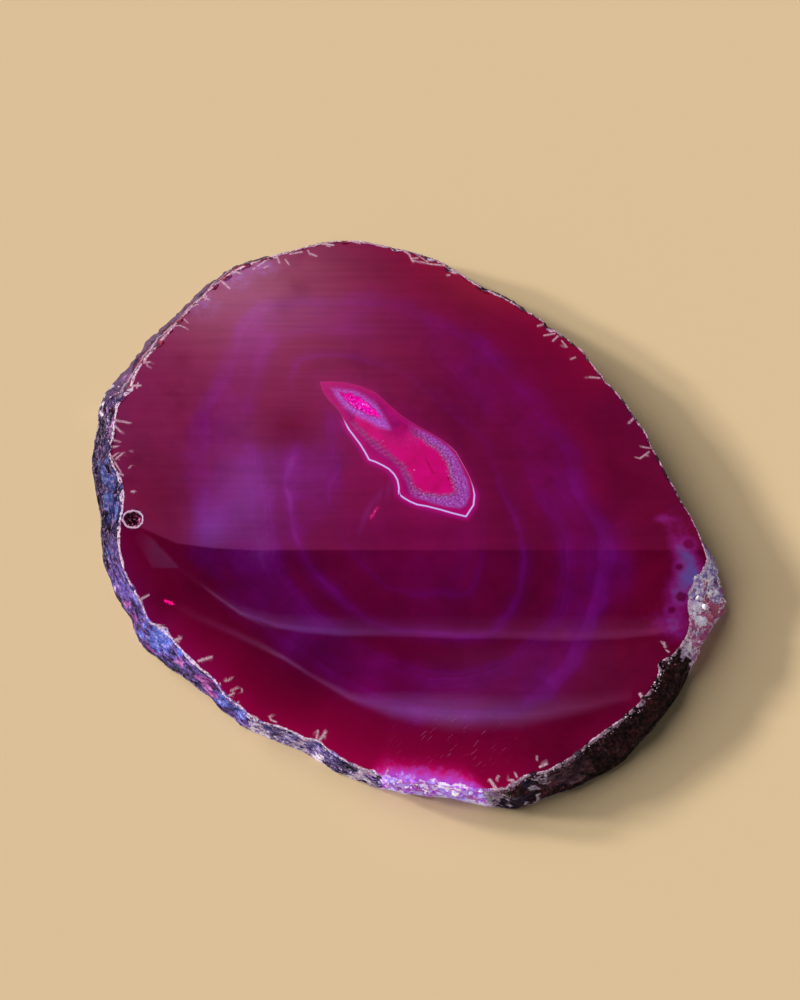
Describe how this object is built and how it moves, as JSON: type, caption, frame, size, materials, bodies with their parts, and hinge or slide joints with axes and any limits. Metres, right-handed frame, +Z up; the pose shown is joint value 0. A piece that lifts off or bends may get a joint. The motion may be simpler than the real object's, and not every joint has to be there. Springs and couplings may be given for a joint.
{
  "type": "agate slice",
  "caption": "Flat dyed agate slice with a polished face, a rough natural rind round the edge and a small crystal-lined hollow in the heart of its bands.",
  "frame": {"origin": "middle of the bounding box on the flat underside", "axes": "+Z up through the polished face, +X along the longest side, towards the tip with the coarse crystals"},
  "size_m": [0.1064, 0.0992, 0.0073],
  "materials": {
    "dyed_agate": "polished face with crimson and purple bands, rough purple and brown rind round the edge",
    "pink_druse": "glassy hot-pink crystal points"
  },
  "bodies": {
    "root": {"agate_slice": "dyed_agate", "pocket_crystals": "pink_druse"}
  },
  "joints": []
}
